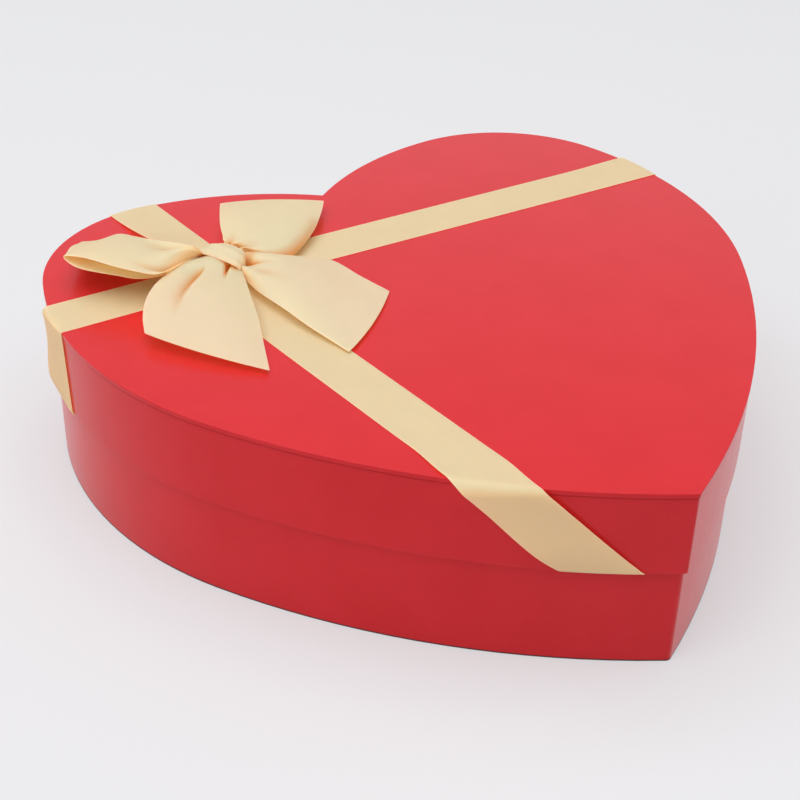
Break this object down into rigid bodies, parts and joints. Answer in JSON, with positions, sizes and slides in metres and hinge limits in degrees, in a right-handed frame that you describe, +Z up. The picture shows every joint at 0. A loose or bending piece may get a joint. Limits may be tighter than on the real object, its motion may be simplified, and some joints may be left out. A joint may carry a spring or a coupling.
{
  "type": "heart gift box",
  "caption": "Heart-shaped rigid paperboard gift box with a lift-off lid, wrapped in red paper, with gold satin ribbon bands that cross on the lid under a tied bow.",
  "frame": {"origin": "middle of the heart's footprint, on the surface that the box stands on", "axes": "+Z up, the way the lid lifts; +X across the two lobes, with the bow on the lobe at -X; +Y from the tip to the notch"},
  "size_m": [0.268, 0.2626, 0.0864],
  "materials": {
    "red_paper": "smooth semi-matte dyed paper",
    "white_liner": "uncoated white lining paper",
    "grey_board": "grey chipboard",
    "stay_tape": "gummed kraft tape",
    "gold_ribbon": "gold satin ribbon",
    "hot_glue": "set hot-melt glue"
  },
  "bodies": {
    "base": {"base_floor_board": "grey_board", "base_left_wall_board": "grey_board", "base_right_wall_board": "grey_board", "base_tip_stay_tape": "stay_tape", "base_notch_stay_tape": "stay_tape", "base_wall_cover": "red_paper", "base_bottom_cover": "red_paper", "base_floor_liner": "white_liner", "base_wall_liner": "white_liner"},
    "lid": {"lid_top_board": "grey_board", "lid_left_wall_board": "grey_board", "lid_right_wall_board": "grey_board", "lid_tip_stay_tape": "stay_tape", "lid_notch_stay_tape": "stay_tape", "lid_top_cover": "red_paper", "lid_wall_cover": "red_paper", "lid_top_liner": "white_liner", "lid_wall_liner": "white_liner", "ribbon_cross_band": "gold_ribbon", "ribbon_long_band": "gold_ribbon", "bow_glue_dot": "hot_glue", "bow_knot": "gold_ribbon", "bow_left_loop": "gold_ribbon", "bow_right_loop": "gold_ribbon", "bow_front_tail": "gold_ribbon", "bow_right_tail": "gold_ribbon"}
  },
  "joints": [
    {"name": "lid_lift", "type": "slide", "parent": "base", "child": "lid", "axis": [0, 0, 1], "range_m": [0, 0.09]}
  ]
}
